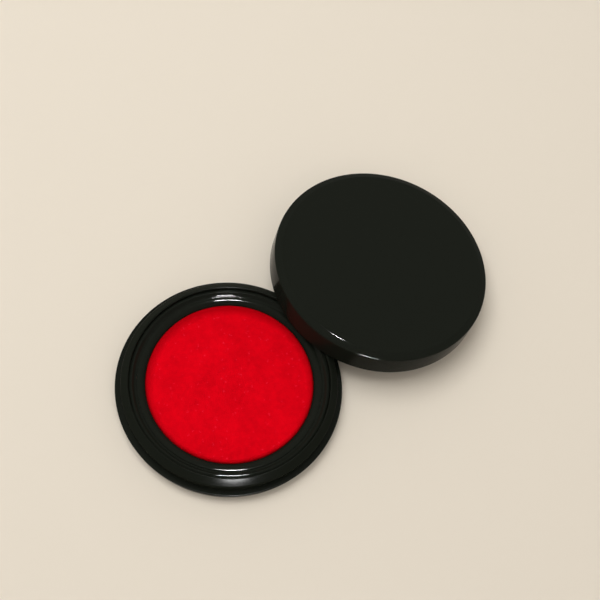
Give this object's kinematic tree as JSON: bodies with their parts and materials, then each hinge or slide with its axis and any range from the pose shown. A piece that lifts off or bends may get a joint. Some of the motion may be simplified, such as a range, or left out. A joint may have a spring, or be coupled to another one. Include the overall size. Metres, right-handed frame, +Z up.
{
  "type": "seal paste box",
  "caption": "Round low box with a cloth-covered red ink pad for name seals, held by a ring in an inner tray, with a push-on lid leaning on its rim.",
  "frame": {"origin": "on the case's axis, on its flat underside", "axes": "+Z up along the case's axis, +X from the case towards the leaning lid"},
  "size_m": [0.1281, 0.0684, 0.0169],
  "materials": {
    "black_plastic": "moulded, high gloss",
    "pad_felt": "felt soaked with seal paste",
    "pad_cloth": "fine woven cloth, damp with seal paste"
  },
  "bodies": {
    "case": {"base_case": "black_plastic", "pad_tray": "black_plastic", "ink_felt": "pad_felt", "cover_cloth": "pad_cloth", "retaining_ring": "black_plastic"},
    "lid": {"lid_shell": "black_plastic"}
  },
  "joints": [
    {"name": "lid_lift", "type": "slide", "parent": "case", "child": "lid", "axis": [0, 0, 1], "range_m": [0, 0.06]}
  ]
}
